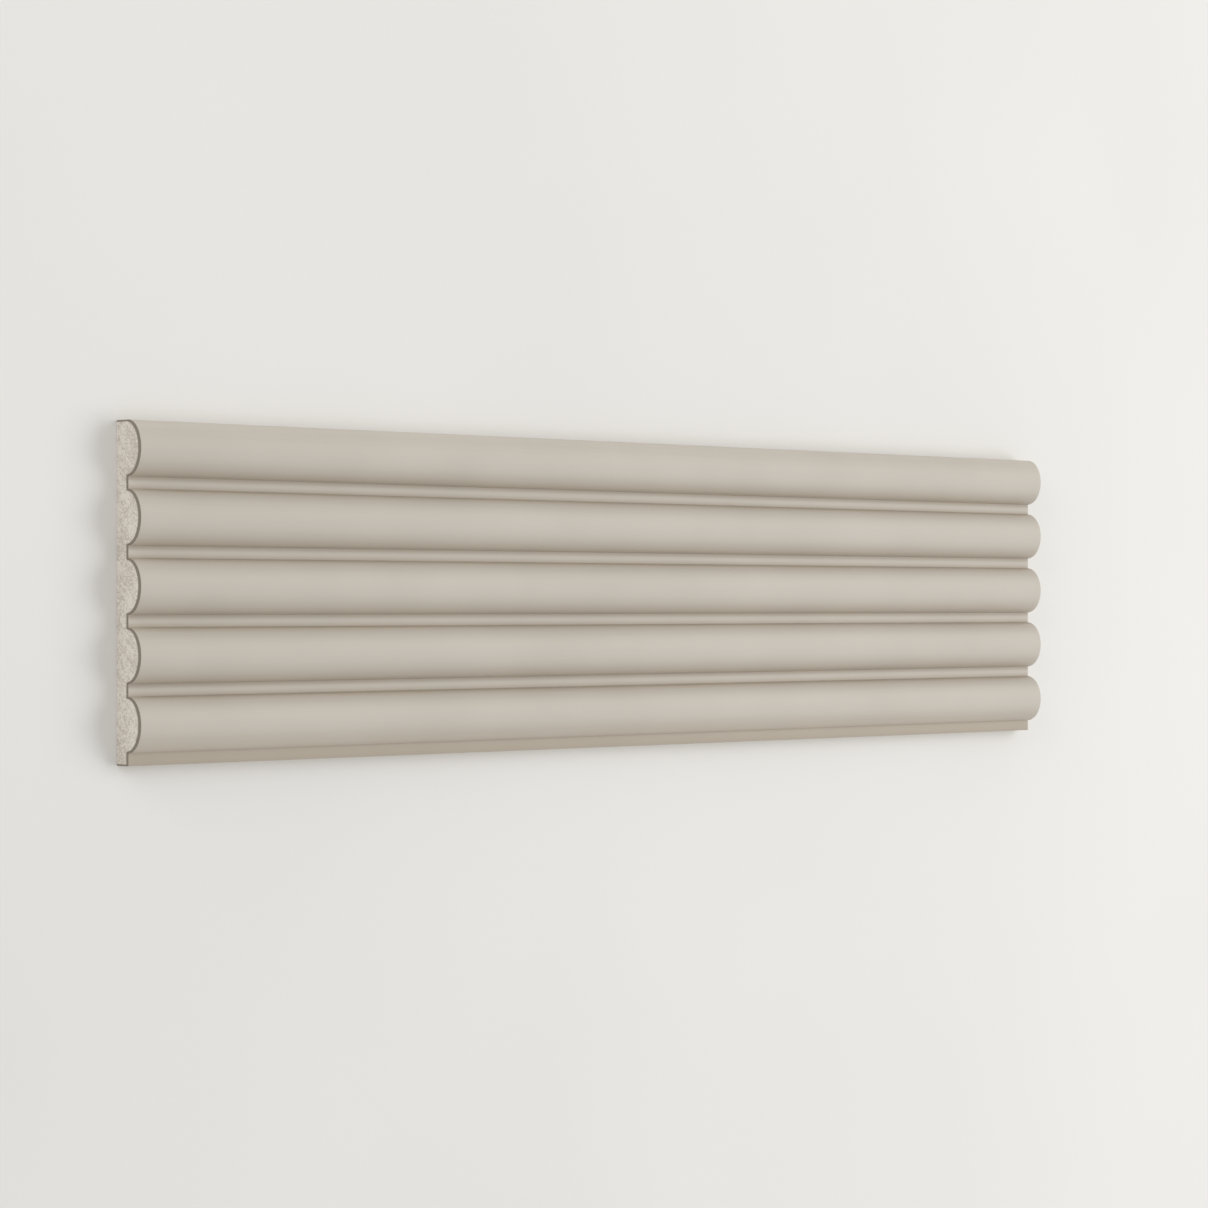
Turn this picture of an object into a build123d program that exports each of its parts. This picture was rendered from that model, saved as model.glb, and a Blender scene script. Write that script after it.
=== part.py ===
"""Reeded wall panel: a sawn length of polystyrene foam moulding, wrapped in a coloured film.

Two pieces, glued face to face and sawn through together:
  foam_core  the light foam extrusion, bare on its back and on both sawn ends
  face_film  the film that covers the ribs, the strips between them and both long edges

The panel lies on its back. X runs along the panel, Y across it with the plain strip on the
-Y side, and Z rises from the back (z = 0) to the crests of the ribs. The origin is the middle
of the back. All sizes are in millimetres.
"""

import os

from build123d import *

# Driving dimensions
PANEL_LENGTH = 500.0
RIB_COUNT = 5
RIB_PITCH = 24.0
RIB_WIDTH = 19.6
RIB_RISE = 7.2
WEB_THICKNESS = 6.3
FILM_CREST_THICKNESS = 1.5
FILM_STRIP_THICKNESS = 1.0
FILM_SIDE_THICKNESS = 0.6
GROOVE_RADIUS = 0.4
STRIP_EDGE_RADIUS = 0.3

# Two places closer than this are the same place.
MATCH_DISTANCE = 0.001

# Panels butt edge to edge, so one panel is a whole number of pitches wide:
# its last rib is flush with the +Y edge, and a strip is left bare at the -Y edge.
PANEL_WIDTH = RIB_COUNT * RIB_PITCH
STRIP_WIDTH = RIB_PITCH - RIB_WIDTH
EDGE_Y = PANEL_WIDTH / 2


def rib_centres():
    """Y of each rib's crest, from the strip's side to the flush edge."""
    first = -EDGE_Y + STRIP_WIDTH + RIB_WIDTH / 2
    return [first + rib * RIB_PITCH for rib in range(RIB_COUNT)]


def rib_section(level, rise, inset):
    """One rib down to the back: a half ellipse on a straight stem."""
    half_width = RIB_WIDTH / 2 - inset
    crown = EllipticalCenterArc((0, level), half_width, rise, arc_size=180)
    stem = Polyline(crown @ 1, (-half_width, 0), (half_width, 0), crown @ 0)
    return make_face([crown, stem])


def panel_section(level, rise, inset):
    """The cross-section in the YZ plane, with its strips at a level above the back and its ribs
    rising from there. The sides of the ribs and both long edges are drawn in by inset."""
    web = Rectangle(PANEL_WIDTH - 2 * inset, level, align=(Align.CENTER, Align.MIN))
    return web + [Pos(y, 0) * rib_section(level, rise, inset) for y in rib_centres()]


def edges_along_panel(solid, places):
    """The lengthwise edges of a solid whose middles are at the given (y, z) places."""
    middles = [Vector(0, y, z) for y, z in places]
    return [
        edge
        for edge in solid.edges().filter_by(Axis.X)
        if any((edge.center() - middle).length < MATCH_DISTANCE for middle in middles)
    ]


def groove_corners(level, inset):
    """Where the foot of each rib meets the flat strip beside it, as (y, z)."""
    half_width = RIB_WIDTH / 2 - inset
    feet = [y + side * half_width for y in rib_centres() for side in (-1, 1)]
    return [(y, level) for y in feet[:-1]]


def moulding(level, rise, inset):
    """The solid of that section over the whole length, with eased groove corners."""
    first_end = Plane.YZ.offset(-PANEL_LENGTH / 2)
    solid = extrude(first_end * panel_section(level, rise, inset), PANEL_LENGTH)
    return fillet(edges_along_panel(solid, groove_corners(level, inset)), GROOVE_RADIUS)


def foam_core():
    """The extruded foam: the moulding without its film, which is thickest over the crests and
    thinnest on the steep sides."""
    level = WEB_THICKNESS - FILM_STRIP_THICKNESS
    crest = WEB_THICKNESS + RIB_RISE - FILM_CREST_THICKNESS
    return moulding(level, crest - level, FILM_SIDE_THICKNESS)


def face_film():
    """The film: everything between the foam and the finished surface. It turns over the strip's
    front corner with a small radius."""
    outside = moulding(WEB_THICKNESS, RIB_RISE, 0)
    strip_corner = edges_along_panel(outside, [(-EDGE_Y, WEB_THICKNESS)])
    return fillet(strip_corner, STRIP_EDGE_RADIUS) - foam_core()


os.makedirs("parts", exist_ok=True)
export_step(foam_core(), "parts/foam_core.step")
export_step(face_film(), "parts/face_film.step")
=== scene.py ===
"""A sawn length of reeded polystyrene wall panel, lying on its back on a pale floor.

Lengths are in metres. X runs along the ribs, Y across the panel, and Z up from its back.
"""

import math

import bmesh
import bpy
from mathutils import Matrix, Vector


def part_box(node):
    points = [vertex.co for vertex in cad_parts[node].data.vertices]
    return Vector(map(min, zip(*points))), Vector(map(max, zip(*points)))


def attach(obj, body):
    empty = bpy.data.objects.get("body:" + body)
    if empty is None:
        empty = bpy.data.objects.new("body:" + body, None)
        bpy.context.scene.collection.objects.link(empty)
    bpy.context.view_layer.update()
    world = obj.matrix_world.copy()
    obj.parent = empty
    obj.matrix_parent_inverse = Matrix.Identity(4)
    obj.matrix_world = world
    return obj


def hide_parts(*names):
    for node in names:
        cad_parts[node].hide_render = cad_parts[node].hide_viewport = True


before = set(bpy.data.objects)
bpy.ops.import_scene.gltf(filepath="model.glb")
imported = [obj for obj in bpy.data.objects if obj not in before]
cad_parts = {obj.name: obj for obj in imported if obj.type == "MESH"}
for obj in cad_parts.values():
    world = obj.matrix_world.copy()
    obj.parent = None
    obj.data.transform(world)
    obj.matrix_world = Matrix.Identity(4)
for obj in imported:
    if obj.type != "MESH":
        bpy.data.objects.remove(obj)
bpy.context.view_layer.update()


# Foam core
# A bar of extruded polystyrene foam with rounded ribs on its front. It leaves the die in one
# endless length with a smooth skin, and a saw cuts it square, which opens the cells at both ends.

MM = 0.001
NEAR = 0.01 * MM
RIB_COUNT = 5
RIB_WIDTH = 19.6 * MM
RIB_RISE = 7.2 * MM
RIB_SIDES = 72
FILM_ON_STRIPS = 1.0 * MM
GROOVE_RADIUS = 0.4 * MM
GROOVE_SEGMENTS = 3
SMOOTH_ANGLE = math.radians(50)
ENDWAYS_ANGLE = math.radians(5)
SAW_WASTE = 5 * MM
SAW_GRID = 0.3 * MM
SAW_ROWS = 81
SAW_COLUMNS = 435
SLIVER = 0.02 * MM
CELL_SIZE = 0.8 * MM
CELL_DEPTH = 0.22 * MM
CELL_WALL_TOP = 0.85

film_low, film_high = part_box("face_film")
core_low, core_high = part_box("foam_core")
length = film_high.x - film_low.x
rib_pitch = (film_high.y - film_low.y) / RIB_COUNT
strip_width = rib_pitch - RIB_WIDTH
strip_z = film_high.z - RIB_RISE
core_strip_z = strip_z - FILM_ON_STRIPS
core_rise = core_high.z - core_strip_z
core_inset = film_high.y - core_high.y
rib_centres = [film_high.y - RIB_WIDTH / 2 - rib * rib_pitch for rib in reversed(range(RIB_COUNT))]


def select(piece, kind, wanted):
    """Selects, in edit mode, the vertices, edges or faces of a piece that pass a test."""
    bpy.ops.mesh.select_mode(type=kind)
    bpy.ops.mesh.select_all(action="DESELECT")
    mesh = bmesh.from_edit_mesh(piece.data)
    mesh.verts.index_update()
    for element in {"VERT": mesh.verts, "EDGE": mesh.edges, "FACE": mesh.faces}[kind]:
        if wanted(element):
            element.select_set(True)
    mesh.select_flush_mode()
    bmesh.update_edit_mesh(piece.data)


def runs_along(*places):
    """A test for the lengthwise edges at any of the given (y, z) places."""
    return lambda edge: any(
        all(abs(v.co.y - y) < NEAR and abs(v.co.z - z) < NEAR for v in edge.verts) for y, z in places
    )


def looks_endways(face):
    """Whether a face looks along the panel, as both sawn ends do."""
    return abs(face.normal.x) > math.cos(ENDWAYS_ANGLE)


def front_sheet(name, sheet_length, foot_z, rise, inset):
    """The front and both long edges as one open sheet: ribs, strips between them, and edges. The
    ribs rise from strips at foot_z, and the steep sides are drawn in by inset."""
    half_width = RIB_WIDTH / 2 - inset
    feet = [y + side * half_width for y in rib_centres for side in (-1, 1)]
    first_rib = (0, rib_centres[0], foot_z)
    bpy.ops.object.select_all(action="DESELECT")
    bpy.ops.mesh.primitive_cylinder_add(
        vertices=RIB_SIDES,
        radius=half_width,
        depth=sheet_length,
        end_fill_type="NOTHING",
        location=first_rib,
        rotation=(0, math.radians(90), 0),
    )
    sheet = bpy.context.object
    sheet.name = name
    bpy.ops.object.transform_apply(location=True, rotation=True, scale=True)

    # The tube is pressed to an ellipse, and its lower half is cut off.
    bpy.ops.object.mode_set(mode="EDIT")
    bpy.ops.mesh.select_all(action="SELECT")
    bpy.ops.transform.resize(value=(1, 1, rise / half_width), center_override=first_rib)
    bpy.ops.mesh.bisect(plane_co=first_rib, plane_no=(0, 0, 1), clear_inner=True)
    bpy.ops.object.mode_set(mode="OBJECT")
    ribs = sheet.modifiers.new("ribs", "ARRAY")
    ribs.count = RIB_COUNT
    ribs.use_relative_offset = False
    ribs.use_constant_offset = True
    ribs.constant_offset_displace = (0, rib_pitch, 0)
    bpy.ops.object.modifier_apply(modifier=ribs.name)

    # Flat strips join the ribs, one more is left bare along the -Y edge, and both edges go down.
    bpy.ops.object.mode_set(mode="EDIT")
    for foot, next_foot in zip(feet[1:-1:2], feet[2:-1:2]):
        select(sheet, "EDGE", runs_along((foot, foot_z), (next_foot, foot_z)))
        bpy.ops.mesh.bridge_edge_loops()
    select(sheet, "EDGE", runs_along((feet[0], foot_z)))
    bpy.ops.mesh.extrude_edges_move(TRANSFORM_OT_translate={"value": (0, -strip_width, 0)})
    select(sheet, "EDGE", runs_along((feet[0] - strip_width, foot_z), (feet[-1], foot_z)))
    bpy.ops.mesh.extrude_edges_move(TRANSFORM_OT_translate={"value": (0, 0, -foot_z)})
    select(sheet, "EDGE", runs_along(*[(foot, foot_z) for foot in feet[:-1]]))
    bpy.ops.mesh.bevel(offset=GROOVE_RADIUS, segments=GROOVE_SEGMENTS, affect="EDGES")
    bpy.ops.mesh.select_all(action="SELECT")
    bpy.ops.mesh.normals_make_consistent(inside=False)
    bpy.ops.object.mode_set(mode="OBJECT")
    return sheet


core = front_sheet("reeded_foam_bar", length + 2 * SAW_WASTE, core_strip_z, core_rise, core_inset)

# The back and both ends are closed.
bpy.ops.object.mode_set(mode="EDIT")
select(core, "EDGE", runs_along((core_low.y, core_low.z), (core_high.y, core_low.z)))
bpy.ops.mesh.bridge_edge_loops()
for end_x in (film_low.x - SAW_WASTE, film_high.x + SAW_WASTE):
    select(core, "EDGE", lambda edge: all(abs(v.co.x - end_x) < NEAR for v in edge.verts))
    bpy.ops.mesh.edge_face_add()
bpy.ops.mesh.select_all(action="SELECT")
bpy.ops.mesh.normals_make_consistent(inside=False)
bpy.ops.object.mode_set(mode="OBJECT")

# Two saw cuts trim the bar to length. The block that is kept has finely divided ends, which
# leaves enough points there for the opened cells. Its lines run clear of the crests, strips and edges.
bpy.ops.object.select_all(action="DESELECT")
saw_middle = (film_low.x, 0, core_high.z / 2)
bpy.ops.mesh.primitive_grid_add(
    x_subdivisions=SAW_ROWS,
    y_subdivisions=SAW_COLUMNS,
    size=1,
    location=saw_middle,
    rotation=(0, math.radians(-90), 0),
)
kept_block = bpy.context.object
bpy.ops.object.transform_apply(location=True, rotation=True, scale=True)
bpy.ops.object.mode_set(mode="EDIT")
bpy.ops.mesh.select_all(action="SELECT")
bpy.ops.transform.resize(
    value=(1, SAW_COLUMNS * SAW_GRID, SAW_ROWS * SAW_GRID), center_override=saw_middle
)
bpy.ops.mesh.extrude_region_move(TRANSFORM_OT_translate={"value": (length, 0, 0)})
bpy.ops.mesh.select_all(action="SELECT")
bpy.ops.mesh.normals_make_consistent(inside=False)
bpy.ops.object.mode_set(mode="OBJECT")
cuts = core.modifiers.new("saw cuts", "BOOLEAN")
cuts.operation = "INTERSECT"
cuts.solver = "EXACT"
cuts.object = kept_block
bpy.ops.object.select_all(action="DESELECT")
core.select_set(True)
bpy.context.view_layer.objects.active = core
bpy.ops.object.modifier_apply(modifier=cuts.name)
bpy.data.objects.remove(kept_block)
bpy.ops.object.mode_set(mode="EDIT")
bpy.ops.mesh.select_all(action="SELECT")
bpy.ops.mesh.dissolve_degenerate(threshold=SLIVER)
select(core, "FACE", lambda face: len(face.verts) > 4)
bpy.ops.mesh.quads_convert_to_tris(ngon_method="BEAUTY")
bpy.ops.object.mode_set(mode="OBJECT")


def linear(hex_colour):
    """An sRGB hex colour as the linear RGBA that a shader socket takes."""
    channels = [int(hex_colour[place : place + 2], 16) / 255 for place in (1, 3, 5)]
    return [c / 12.92 if c <= 0.04045 else ((c + 0.055) / 1.055) ** 2.4 for c in channels] + [1]


def new_material(name):
    """An empty node material."""
    material = bpy.data.materials.new(name)
    material.use_nodes = True
    material.node_tree.nodes.clear()
    return material


def add_node(material, kind, inputs=None, stops=(), **settings):
    """Adds a shader node. An input is a plain value or the socket that feeds it, and a colour
    ramp takes its stops as (position, hex colour)."""
    node = material.node_tree.nodes.new(kind)
    for name, value in settings.items():
        setattr(node, name, value)
    for name, value in (inputs or {}).items():
        if isinstance(value, bpy.types.NodeSocket):
            material.node_tree.links.new(value, node.inputs[name])
        else:
            node.inputs[name].default_value = value
    for number, (position, colour) in enumerate(stops):
        if number == len(node.color_ramp.elements):
            node.color_ramp.elements.new(position)
        node.color_ramp.elements[number].position = position
        node.color_ramp.elements[number].color = linear(colour)
    return node


# Extruded polystyrene foam where the saw has cut it: near white and dull. The opened cells give a
# fine speckle of light walls and greyer hollows, denser in drifts a few millimetres wide, and the
# blade leaves faint slanting lines. Real cells are about 0.2 mm, too fine to show here, so they are
# drawn coarser. Each tone stands at its place in the pattern, from 0 to 1.
FOAM_TONES = ((0.42, "#BEB5AA"), (0.56, "#DCD5CB"))
FOAM_ROUGHNESS = 0.9
FOAM_DRIFT = 6 * MM
SPECKLE_SIZE = 0.6 * MM
SAW_LINE_SIZE = (1 * MM, 1.2 * MM, 12 * MM)
SAW_LINE_SLANT = (math.radians(40), 0, 0)
DRIFT_SHARE = 0.3
SAW_LINE_SHARE = 0.2
POLYSTYRENE_IOR = 1.59

sawn_foam = new_material("sawn_polystyrene_foam")
place = add_node(sawn_foam, "ShaderNodeTexCoord")
speckle = add_node(
    sawn_foam,
    "ShaderNodeTexNoise",
    {"Vector": place.outputs["Object"], "Scale": 1 / SPECKLE_SIZE, "Detail": 1},
)
drift = add_node(
    sawn_foam,
    "ShaderNodeTexNoise",
    {"Vector": place.outputs["Object"], "Scale": 1 / FOAM_DRIFT, "Detail": 2},
)
slant = add_node(
    sawn_foam,
    "ShaderNodeMapping",
    {"Vector": place.outputs["Object"], "Rotation": SAW_LINE_SLANT, "Scale": SAW_LINE_SIZE},
    vector_type="TEXTURE",
)
saw_lines = add_node(
    sawn_foam, "ShaderNodeTexNoise", {"Vector": slant.outputs["Vector"], "Scale": 1, "Detail": 1}
)
drifting = add_node(
    sawn_foam,
    "ShaderNodeMix",
    {"Factor": DRIFT_SHARE, "A": speckle.outputs["Fac"], "B": drift.outputs["Fac"]},
)
lined = add_node(
    sawn_foam,
    "ShaderNodeMix",
    {"Factor": SAW_LINE_SHARE, "A": drifting.outputs["Result"], "B": saw_lines.outputs["Fac"]},
)
tones = add_node(
    sawn_foam,
    "ShaderNodeValToRGB",
    {"Fac": lined.outputs["Result"]},
    stops=FOAM_TONES,
)
shader = add_node(
    sawn_foam,
    "ShaderNodeBsdfPrincipled",
    {"Base Color": tones.outputs["Color"], "Roughness": FOAM_ROUGHNESS, "IOR": POLYSTYRENE_IOR},
)
add_node(sawn_foam, "ShaderNodeOutputMaterial", {"Surface": shader.outputs["BSDF"]})

# The skin that the foam keeps from the die, bare on the back: smoother and more even than the cut
# cells. The die draws faint straight lines along it, and the closed cells under it give a fine dapple,
# which is drawn coarser here too.
SKIN_TONES = ((0.35, "#DBD4C9"), (0.65, "#E7E1D7"))
SKIN_ROUGHNESS = 0.75
SKIN_LINE_SIZE = (4000 * MM, 1.5 * MM, 1.5 * MM)
SKIN_LINE_SHARE = 0.35
SKIN_DAPPLE = 1.4 * MM
SKIN_DEPTH = 0.03 * MM

foam_skin = new_material("extruded_polystyrene_skin")
place = add_node(foam_skin, "ShaderNodeTexCoord")
drawn = add_node(
    foam_skin,
    "ShaderNodeMapping",
    {"Vector": place.outputs["Object"], "Scale": SKIN_LINE_SIZE},
    vector_type="TEXTURE",
)
skin_lines = add_node(
    foam_skin, "ShaderNodeTexNoise", {"Vector": drawn.outputs["Vector"], "Scale": 1, "Detail": 1}
)
dapple = add_node(
    foam_skin,
    "ShaderNodeTexNoise",
    {"Vector": place.outputs["Object"], "Scale": 1 / SKIN_DAPPLE, "Detail": 1},
)
skin = add_node(
    foam_skin,
    "ShaderNodeMix",
    {"Factor": SKIN_LINE_SHARE, "A": dapple.outputs["Fac"], "B": skin_lines.outputs["Fac"]},
)
tones = add_node(
    foam_skin,
    "ShaderNodeValToRGB",
    {"Fac": skin.outputs["Result"]},
    stops=SKIN_TONES,
)
relief = add_node(
    foam_skin, "ShaderNodeBump", {"Height": skin.outputs["Result"], "Distance": SKIN_DEPTH}
)
shader = add_node(
    foam_skin,
    "ShaderNodeBsdfPrincipled",
    {
        "Base Color": tones.outputs["Color"],
        "Roughness": SKIN_ROUGHNESS,
        "IOR": POLYSTYRENE_IOR,
        "Normal": relief.outputs["Normal"],
    },
)
add_node(foam_skin, "ShaderNodeOutputMaterial", {"Surface": shader.outputs["BSDF"]})

core.data.materials.append(foam_skin)
core.data.materials.append(sawn_foam)
bpy.ops.object.mode_set(mode="EDIT")
select(core, "FACE", looks_endways)
core.active_material_index = 1
bpy.ops.object.material_slot_assign()

# The cells that the saw opened are small hollows in both ends, coarser than real ones so that they
# show. The outline stays sharp.
select(core, "VERT", lambda vert: all(looks_endways(face) for face in vert.link_faces))
bpy.ops.object.vertex_group_assign_new()
bpy.ops.object.mode_set(mode="OBJECT")
cells = bpy.data.textures.new("opened_cells", "VORONOI")
cells.noise_scale = CELL_SIZE
cells.noise_intensity = CELL_WALL_TOP
hollows = core.modifiers.new("opened cells", "DISPLACE")
hollows.texture = cells
hollows.texture_coords = "LOCAL"
hollows.direction = "NORMAL"
hollows.vertex_group = core.vertex_groups[0].name
hollows.mid_level = 1
hollows.strength = CELL_DEPTH
bpy.ops.object.modifier_apply(modifier=hollows.name)
bpy.ops.object.shade_smooth_by_angle(angle=SMOOTH_ANGLE)

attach(core, "root")
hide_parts("foam_core")


# Face film
# A coloured polystyrene film, laid hot over the foam's ribs, strips and long edges as the bar leaves
# the die, thickest over the crests and thinnest on the steep sides. It is sawn through with the foam,
# and its cut edge, darkened with painted shade, shows as a dark line round both ends.

STRIP_EDGE_RADIUS = 0.3 * MM
STRIP_EDGE_SEGMENTS = 1
RIM_EASE = 0.12 * MM
RIM_SEGMENTS = 2
RIM_BAND = 0.5 * MM

film = front_sheet("beige_face_film", length, strip_z, RIB_RISE, 0)
outer_count = len(film.data.vertices)

# A second sheet, turned to face the foam, lines the film. Both are joined round their rims.
lining = front_sheet("film_lining", length, core_strip_z, core_rise, core_inset)
bpy.ops.object.mode_set(mode="EDIT")
bpy.ops.mesh.select_all(action="SELECT")
bpy.ops.mesh.flip_normals()
bpy.ops.object.mode_set(mode="OBJECT")
bpy.ops.object.select_all(action="DESELECT")
lining.select_set(True)
film.select_set(True)
bpy.context.view_layer.objects.active = film
bpy.ops.object.join()
bpy.ops.object.mode_set(mode="EDIT")
select(film, "EDGE", lambda edge: edge.is_boundary)
bpy.ops.mesh.bridge_edge_loops()
bpy.ops.mesh.select_all(action="SELECT")
bpy.ops.mesh.normals_make_consistent(inside=False)

# The saw leaves the outer rim of both ends a little eased. A line of points close to each end keeps
# the soft shading of that rim off the long faces. The points of the lining come after the outer ones.
for band_x in (film_low.x + RIM_BAND, film_high.x - RIM_BAND):
    bpy.ops.mesh.select_all(action="SELECT")
    bpy.ops.mesh.bisect(plane_co=(band_x, 0, 0), plane_no=(1, 0, 0))
select(
    film,
    "EDGE",
    lambda edge: all(v.index < outer_count and abs(v.co.x) > length / 2 - NEAR for v in edge.verts),
)
bpy.ops.mesh.bevel(offset=RIM_EASE, segments=RIM_SEGMENTS, affect="EDGES")

# The film turns softly over the strip's front corner.
select(film, "EDGE", runs_along((film_low.y, strip_z)))
bpy.ops.mesh.bevel(offset=STRIP_EDGE_RADIUS, segments=STRIP_EDGE_SEGMENTS, affect="EDGES")

# Calendered polystyrene film: beige, matt to satin. The rollers leave a slow drift of tone and faint
# lines along it. Painted shade makes it darker and warmer in the corners of the grooves and on the
# bare strip, and makes the ribs a touch darker than the middles of the strips. Its grain is about
# 0.1 mm, too fine to show here, so it is drawn coarser.
FILM_TONES = ((0.35, "#B7AFA3"), (0.65, "#BCB4A8"))
DULLEST_LINE = 0.7
SHINIEST_LINE = 0.3
FILM_DULLEST = 0.57
FILM_SHINIEST = 0.49
FILM_DRIFT = 40 * MM
FILM_LINE_SIZE = (150 * MM, 0.9 * MM, 0.9 * MM)
FILM_LINE_SHARE = 0.4
FILM_GRAIN = 0.5 * MM
FILM_GRAIN_DEPTH = 0.004 * MM

# Painted shade by place across the panel, in millimetres: over one pitch from the middle of a strip
# to the middle of the next, and in from the edge of the bare strip.
GROOVE_SHADE_TONES = (
    (0.3, "#FFFFFF"),
    (1.5, "#E4DFD6"),
    (1.9, "#E8E3DC"),
    (2.2, "#FFFCF8"),
    (8.0, "#FCFCFC"),
    (20.0, "#FCFCFC"),
    (20.9, "#FFFCF8"),
    (21.8, "#EDE8E1"),
    (22.3, "#EFEBE3"),
    (23.6, "#FFFFFF"),
)
BARE_STRIP_SHADE_TONES = ((4.0, "#EEE8DF"), (4.4, "#FFFBF6"), (11.5, "#FFFFFF"))
CREST_IN_PITCH = 0.5

film_face = new_material("matt_polystyrene_film")
place = add_node(film_face, "ShaderNodeTexCoord")
drift = add_node(
    film_face,
    "ShaderNodeTexNoise",
    {"Vector": place.outputs["Object"], "Scale": 1 / FILM_DRIFT, "Detail": 2},
)
drawn = add_node(
    film_face,
    "ShaderNodeMapping",
    {"Vector": place.outputs["Object"], "Scale": FILM_LINE_SIZE},
    vector_type="TEXTURE",
)
film_lines = add_node(
    film_face, "ShaderNodeTexNoise", {"Vector": drawn.outputs["Vector"], "Scale": 1, "Detail": 2}
)
lined = add_node(
    film_face,
    "ShaderNodeMix",
    {"Factor": FILM_LINE_SHARE, "A": drift.outputs["Fac"], "B": film_lines.outputs["Fac"]},
)
tones = add_node(
    film_face,
    "ShaderNodeValToRGB",
    {"Fac": lined.outputs["Result"]},
    stops=FILM_TONES,
)
across = add_node(film_face, "ShaderNodeSeparateXYZ", {"Vector": place.outputs["Object"]})

# The pitches are counted from crest to crest, so neither long edge gets a groove's painted shade.
pitches = add_node(
    film_face,
    "ShaderNodeMapRange",
    {
        "Value": across.outputs["Y"],
        "From Min": rib_centres[0],
        "From Max": rib_centres[-1],
        "To Min": CREST_IN_PITCH,
        "To Max": RIB_COUNT - CREST_IN_PITCH,
    },
)
from_strip = add_node(
    film_face, "ShaderNodeMath", {0: pitches.outputs["Result"]}, operation="FRACT"
)
# Painted shade, darker and warmer, in the corners of the grooves.
groove_shade = add_node(
    film_face,
    "ShaderNodeValToRGB",
    {"Fac": from_strip.outputs["Value"]},
    stops=[(place_mm * MM / rib_pitch, tone) for place_mm, tone in GROOVE_SHADE_TONES],
)
# Painted shade on the bare strip along the -Y edge, darker and warmer in from its edge.
bare_strip = add_node(
    film_face,
    "ShaderNodeMapRange",
    {
        "Value": across.outputs["Y"],
        "From Min": film_low.y,
        "From Max": film_low.y + rib_pitch,
    },
)
bare_strip_shade = add_node(
    film_face,
    "ShaderNodeValToRGB",
    {"Fac": bare_strip.outputs["Result"]},
    stops=[(place_mm * MM / rib_pitch, tone) for place_mm, tone in BARE_STRIP_SHADE_TONES],
)
# The painted shade of the grooves and of the bare strip is laid over the film's own tones.
groove_shaded = add_node(
    film_face,
    "ShaderNodeVectorMath",
    {0: tones.outputs["Color"], 1: groove_shade.outputs["Color"]},
    operation="MULTIPLY",
)
shaded_film = add_node(
    film_face,
    "ShaderNodeVectorMath",
    {0: groove_shaded.outputs["Vector"], 1: bare_strip_shade.outputs["Color"]},
    operation="MULTIPLY",
)
sheen = add_node(
    film_face,
    "ShaderNodeMapRange",
    {
        "Value": film_lines.outputs["Fac"],
        "From Min": SHINIEST_LINE,
        "From Max": DULLEST_LINE,
        "To Min": FILM_SHINIEST,
        "To Max": FILM_DULLEST,
    },
)
grain = add_node(
    film_face,
    "ShaderNodeTexNoise",
    {"Vector": place.outputs["Object"], "Scale": 1 / FILM_GRAIN, "Detail": 1},
)
relief = add_node(
    film_face, "ShaderNodeBump", {"Height": grain.outputs["Fac"], "Distance": FILM_GRAIN_DEPTH}
)
shader = add_node(
    film_face,
    "ShaderNodeBsdfPrincipled",
    {
        "Base Color": shaded_film.outputs["Vector"],
        "Roughness": sheen.outputs["Result"],
        "IOR": POLYSTYRENE_IOR,
        "Normal": relief.outputs["Normal"],
    },
)
add_node(film_face, "ShaderNodeOutputMaterial", {"Surface": shader.outputs["BSDF"]})

# The film's edge where the saw has cut it, torn fine by the teeth. Its beige is drawn much darker than
# the face's with painted shade.
SHADED_EDGE_TONES = ((0.35, "#746B5F"), (0.65, "#898073"))
EDGE_ROUGHNESS = 0.7
EDGE_GRAIN = 0.4 * MM

film_edge = new_material("sawn_polystyrene_film")
place = add_node(film_edge, "ShaderNodeTexCoord")
grain = add_node(
    film_edge,
    "ShaderNodeTexNoise",
    {"Vector": place.outputs["Object"], "Scale": 1 / EDGE_GRAIN, "Detail": 1},
)
tones = add_node(
    film_edge,
    "ShaderNodeValToRGB",
    {"Fac": grain.outputs["Fac"]},
    stops=SHADED_EDGE_TONES,
)
shader = add_node(
    film_edge,
    "ShaderNodeBsdfPrincipled",
    {"Base Color": tones.outputs["Color"], "Roughness": EDGE_ROUGHNESS, "IOR": POLYSTYRENE_IOR},
)
add_node(film_edge, "ShaderNodeOutputMaterial", {"Surface": shader.outputs["BSDF"]})

film.data.materials.append(film_face)
film.data.materials.append(film_edge)
select(film, "FACE", lambda face: all(abs(v.co.x) > length / 2 - RIM_EASE - NEAR for v in face.verts))
film.active_material_index = 1
bpy.ops.object.material_slot_assign()
bpy.ops.object.mode_set(mode="OBJECT")
bpy.ops.object.shade_smooth_by_angle(angle=SMOOTH_ANGLE)

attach(film, "root")
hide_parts("face_film")


# Floor
# A plain pale studio floor under the panel, rolled with matt paint.

FLOOR_SIZE = 8.0
FLOOR_DROP = 0.1 * MM
FLOOR_TONES = ((0.35, "#E1DFDB"), (0.65, "#E4E2DE"))
FLOOR_ROUGHNESS = 0.8
FLOOR_DRIFT = 250 * MM
FLOOR_STIPPLE = 1.5 * MM
FLOOR_STIPPLE_DEPTH = 0.02 * MM

bpy.ops.object.select_all(action="DESELECT")
bpy.ops.mesh.primitive_plane_add(size=FLOOR_SIZE, location=(0, 0, core_low.z - FLOOR_DROP))
bpy.ops.object.transform_apply(location=True, rotation=True, scale=True)
floor = bpy.context.object
floor.name = "studio_floor"

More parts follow.
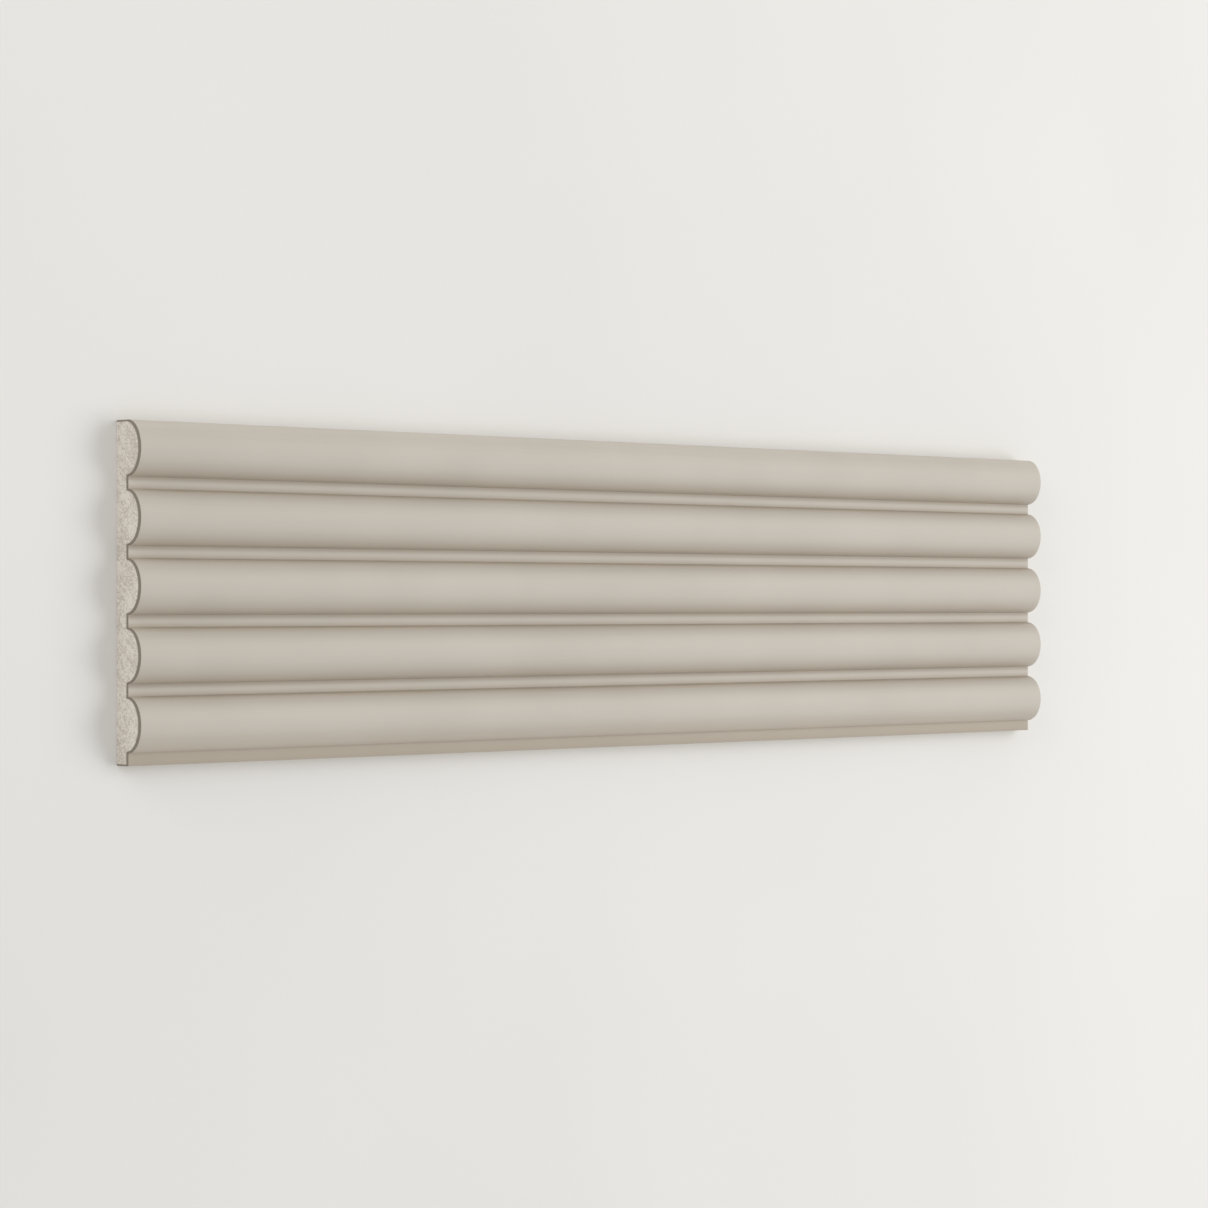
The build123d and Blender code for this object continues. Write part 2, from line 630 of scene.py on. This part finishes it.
# Matt floor paint: pale, with a slow drift of tone and the fine stipple of the roller.
floor_paint = new_material("matt_floor_paint")
place = add_node(floor_paint, "ShaderNodeTexCoord")
drift = add_node(
    floor_paint,
    "ShaderNodeTexNoise",
    {"Vector": place.outputs["Object"], "Scale": 1 / FLOOR_DRIFT, "Detail": 2},
)
tones = add_node(
    floor_paint,
    "ShaderNodeValToRGB",
    {"Fac": drift.outputs["Fac"]},
    stops=FLOOR_TONES,
)
stipple = add_node(
    floor_paint,
    "ShaderNodeTexNoise",
    {"Vector": place.outputs["Object"], "Scale": 1 / FLOOR_STIPPLE, "Detail": 1},
)
relief = add_node(
    floor_paint, "ShaderNodeBump", {"Height": stipple.outputs["Fac"], "Distance": FLOOR_STIPPLE_DEPTH}
)
shader = add_node(
    floor_paint,
    "ShaderNodeBsdfPrincipled",
    {
        "Base Color": tones.outputs["Color"],
        "Roughness": FLOOR_ROUGHNESS,
        "Normal": relief.outputs["Normal"],
    },
)
add_node(floor_paint, "ShaderNodeOutputMaterial", {"Surface": shader.outputs["BSDF"]})
floor.data.materials.append(floor_paint)


# Light
# A broad soft box high up beyond the far end, which also gives the film its sheen, a pale card by the
# near end, a low card beyond each long edge, and white light from all round.

SOFT_BOX_PLACE = (1.6, 0.05, 1.6)
SOFT_BOX_SIZE = (2.4, 1.7)
SOFT_BOX_POWER = 31
CARD_PLACE = (-1.5, 0.9, 0.5)
CARD_SIZE = (1.0, 1.0)
CARD_POWER = 8
RIM_PLACE = (0, 1.6, 0.12)
RIM_SIZE = (1.6, 0.16)
RIM_POWER = 3
LOW_PLACE = (0, -1.6, 0.12)
LOW_SIZE = (1.6, 0.16)
LOW_POWER = 1.3
SURROUND_COLOUR = "#FFFFFF"
SURROUND_LIGHT = 0.63

for name, spot, size, power in (
    ("soft_box", SOFT_BOX_PLACE, SOFT_BOX_SIZE, SOFT_BOX_POWER),
    ("pale_card", CARD_PLACE, CARD_SIZE, CARD_POWER),
    ("rim_card", RIM_PLACE, RIM_SIZE, RIM_POWER),
    ("low_card", LOW_PLACE, LOW_SIZE, LOW_POWER),
):
    bpy.ops.object.light_add(type="AREA", location=spot)
    light = bpy.context.object
    light.name = name
    light.data.shape = "RECTANGLE"
    light.data.size, light.data.size_y = size
    light.data.energy = power
    light.rotation_euler = (-light.location).to_track_quat("-Z", "Y").to_euler()

surround = bpy.data.worlds.new("pale_surround")
surround.use_nodes = True
background = surround.node_tree.nodes["Background"]
background.inputs["Color"].default_value = linear(SURROUND_COLOUR)
background.inputs["Strength"].default_value = SURROUND_LIGHT
bpy.context.scene.world = surround
bpy.context.scene.view_settings.view_transform = "Standard"


# Camera
# It looks down on the panel at the photograph's angle, turned so that the ribs run across the picture.

CAMERA_PLACE = (-1000.3 * MM, -3.85 * MM, 989.4 * MM)
CAMERA_TILT = math.radians(-45)
CAMERA_LENS = 105.6
SENSOR_WIDTH = 36
bpy.ops.object.camera_add(location=CAMERA_PLACE, rotation=(0, CAMERA_TILT, 0))
camera = bpy.context.object
camera.data.lens = CAMERA_LENS
camera.data.sensor_width = SENSOR_WIDTH
bpy.context.scene.camera = camera
